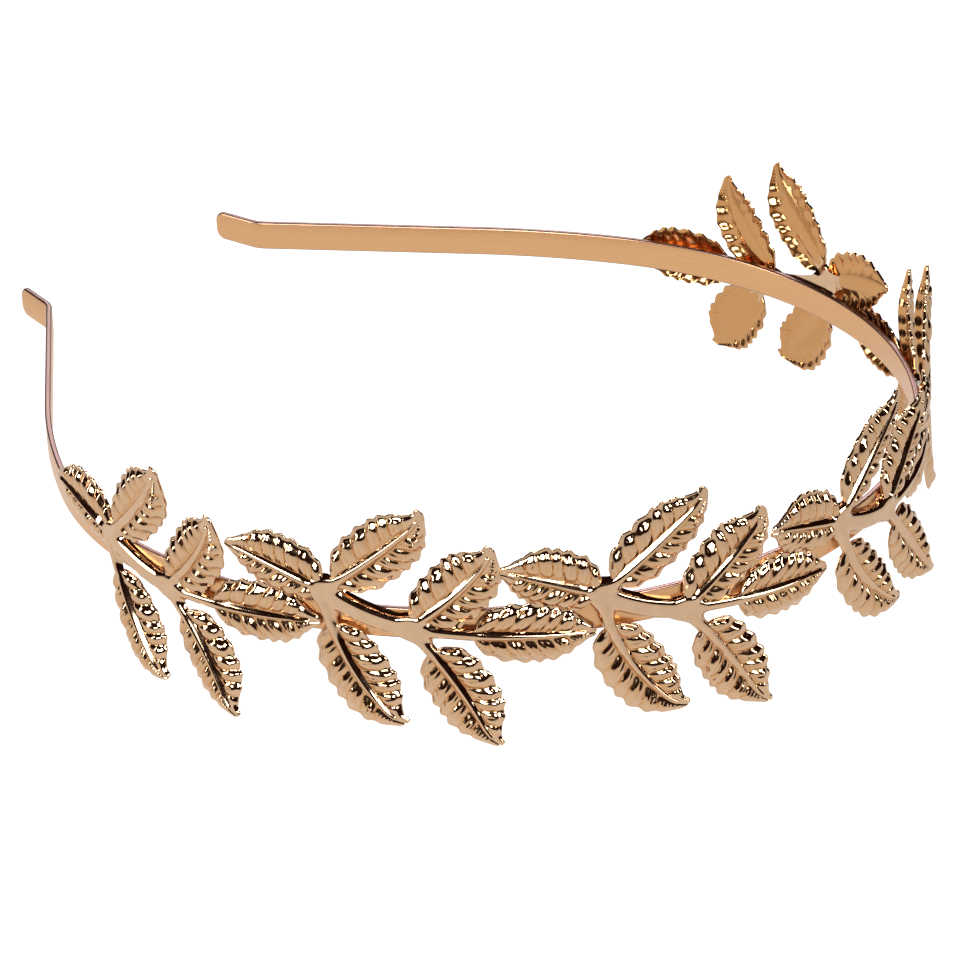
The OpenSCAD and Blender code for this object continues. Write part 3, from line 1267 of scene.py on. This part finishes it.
@dataclass
class Garland:
    """The six like sprays along the band's front and sides."""

    seat: Seat
    finish: PolishedGoldPlate = field(default_factory=PolishedGoldPlate)
    stem: Stem = field(default_factory=Stem)
    leaf: Leaf = field(default_factory=Leaf)
    first_fork: float = 117.5
    pitch: float = 43.0
    fork_z: float = 3.4
    sharp: float = 50.0

    def spray(self) -> bpy.types.Mesh:
        """Models one spray in its own plan.

        Returns:
            Its mesh, in millimetres, with the first fork at the origin.
        """
        skeleton = Skeleton(self.stem, self.leaf, self.seat.plan.band_t)
        bm = bmesh.new()
        for twig in TWIGS:
            self.leaf.grow(bm, twig, self.stem.fork(twig.fork), skeleton.level())
        skeleton.cast(bm)
        open_edges = [e for e in bm.edges if e.is_boundary]
        bmesh.ops.holes_fill(bm, edges=open_edges, sides=0)
        bmesh.ops.recalc_face_normals(bm, faces=bm.faces)
        mesh = bpy.data.meshes.new("spray_pattern")
        bm.to_mesh(mesh)
        bm.free()
        return mesh

    def laid(self, places: np.ndarray, number: int) -> np.ndarray:
        """Moves places of a spray's plan to where that spray lies on the strip.

        Args:
            places: Rows of x, y and height in the spray's plan.
            number: Which spray, counted from the left-hand side.

        Returns:
            Rows of strip length, height and distance outwards.
        """
        lay = LAYS[number]
        turn = math.radians(lay.turn)
        x, y, out = places.T
        fork = (number + lay.shift) * self.pitch - self.first_fork
        along = fork + x * math.cos(turn) - y * math.sin(turn)
        up = self.fork_z + lay.lift * self.seat.plan.band_h + x * math.sin(turn) + y * math.cos(turn)
        return np.stack([along, up, out], axis=1)

    def build(self) -> list[bpy.types.Object]:
        """Lays the sprays on the band and dresses them.

        Returns:
            The sprays, from the left-hand side.
        """
        pattern = self.spray()
        material = self.finish.material()
        pieces = []
        for number in range(len(LAYS)):
            bm = bmesh.new()
            bm.from_mesh(pattern)
            verts = list(bm.verts)
            move_to(verts, self.seat.placed(self.laid(places_of(verts), number)))
            pieces.append(add_piece(f"spray_{number + 1}", bm, material, self.sharp))
        bpy.data.meshes.remove(pattern)
        return pieces


# Studio

@dataclass(frozen=True)
class Softbox:
    """One studio lamp with a rectangular diffuser. Its sizes and distance are in metres."""

    name: str
    width: float
    depth: float
    power: float
    azimuth: float
    elevation: float
    distance: float = 1.1

    def light(self) -> None:
        """Hangs the lamp, facing the headband, at angles seen as the camera's azimuth and elevation."""
        lamp = bpy.data.lights.new(self.name, "AREA")
        lamp.shape = "RECTANGLE"
        lamp.size, lamp.size_y, lamp.energy = self.width, self.depth, self.power
        holder = bpy.data.objects.new(self.name, lamp)
        turn, rise = math.radians(self.azimuth), math.radians(self.elevation)
        back = Vector((math.sin(turn) * math.cos(rise), -math.cos(turn) * math.cos(rise), math.sin(rise)))
        holder.location = back * self.distance
        holder.rotation_euler = back.to_track_quat("Z", "Y").to_euler()
        bpy.context.scene.collection.objects.link(holder)


@dataclass
class Studio:
    """White light table, a dark room, softboxes and the camera.

    The floor's half width is in metres. The camera's aim leads from the point that it looks
    at to the strip's front middle: how far to its right and how far on.
    """

    seat: Seat
    table: FrostedGlass = field(default_factory=FrostedGlass)
    floor_half: float = 4.0
    room: str = "#2D150F"
    azimuth: float = -41.84
    elevation: float = 26.58
    roll: float = 2.39
    distance: float = 750.0
    aim: tuple[float, float] = (47.37, -29.56)
    lens: float = 179.65
    sensor: float = 36.0
    exposure: float = -0.68

    # Distances in metres between which the camera sees
    SIGHT = (0.05, 20.0)
    SOFTBOXES = (
        Softbox("front_left_box", 0.5, 0.36, 13.2, -72.0, 38.0),
        Softbox("front_right_box", 0.44, 0.36, 12.0, -10.0, 40.0),
        Softbox("top_box", 0.34, 0.2, 4.6, 122.0, 50.0),
        Softbox("left_strip", 0.17, 0.8, 6.8, -124.0, 26.0),
        Softbox("right_strip", 0.17, 0.8, 6.8, 36.0, 30.0),
        Softbox("back_box", 1.0, 0.3, 5.2, 138.0, 30.0),
    )

    def floor(self) -> None:
        """Lays the light table at the height the headband rests on."""
        bm = bmesh.new()
        bmesh.ops.create_grid(bm, x_segments=1, y_segments=1, size=self.floor_half)
        add_piece("floor", bm, self.table.material(), sharp=0.0)

    def lights(self) -> None:
        """Sets the dark room and the softboxes."""
        world = bpy.data.worlds.new("dark_room")
        world.use_nodes = True
        world.node_tree.nodes["Background"].inputs["Color"].default_value = linear(self.room)
        bpy.context.scene.world = world
        for box in self.SOFTBOXES:
            box.light()

    def camera(self) -> None:
        """Sets the camera where the photograph was taken from, with the photograph's slight roll."""
        turn = Matrix.Rotation(math.radians(self.azimuth), 3, "Z")
        rise, roll = math.radians(self.elevation), math.radians(self.roll)
        right, up = Vector((1, 0, 0)), Vector((0, math.sin(rise), math.cos(rise)))
        forward = Vector((0, math.cos(rise), -math.sin(rise)))
        place = -forward * self.distance - Vector((*self.aim, 0))
        side = right * math.cos(roll) - up * math.sin(roll)
        head = right * math.sin(roll) + up * math.cos(roll)
        axes = turn @ Matrix((side, head, -forward)).transposed()
        lens = bpy.data.cameras.new("camera")
        lens.lens, lens.sensor_width = self.lens, self.sensor
        lens.clip_start, lens.clip_end = self.SIGHT
        holder = bpy.data.objects.new("camera", lens)
        place = turn @ place + Vector(self.seat.shift)
        holder.matrix_world = Matrix.Translation(place * MM) @ axes.to_4x4()
        bpy.context.scene.collection.objects.link(holder)
        bpy.context.scene.camera = holder

    def build(self) -> None:
        """Sets up everything round the headband."""
        self.camera()
        self.floor()
        self.lights()
        view = bpy.context.scene.view_settings
        view.view_transform = "Standard"
        view.look = "None"
        view.exposure = self.exposure


def main() -> None:
    """Builds the band and the sprays, and the studio round them."""
    logging.basicConfig(level=logging.INFO, format="%(name)s: %(message)s")
    seat = Seat.measured(HeadPlan())
    log.info("front middle of the strip at %.3f %.3f %.3f mm", *seat.shift)
    for piece in [Band(seat).build(), *Garland(seat).build()]:
        declare(piece)
    Studio(seat).build()


if __name__ == "__main__":
    main()
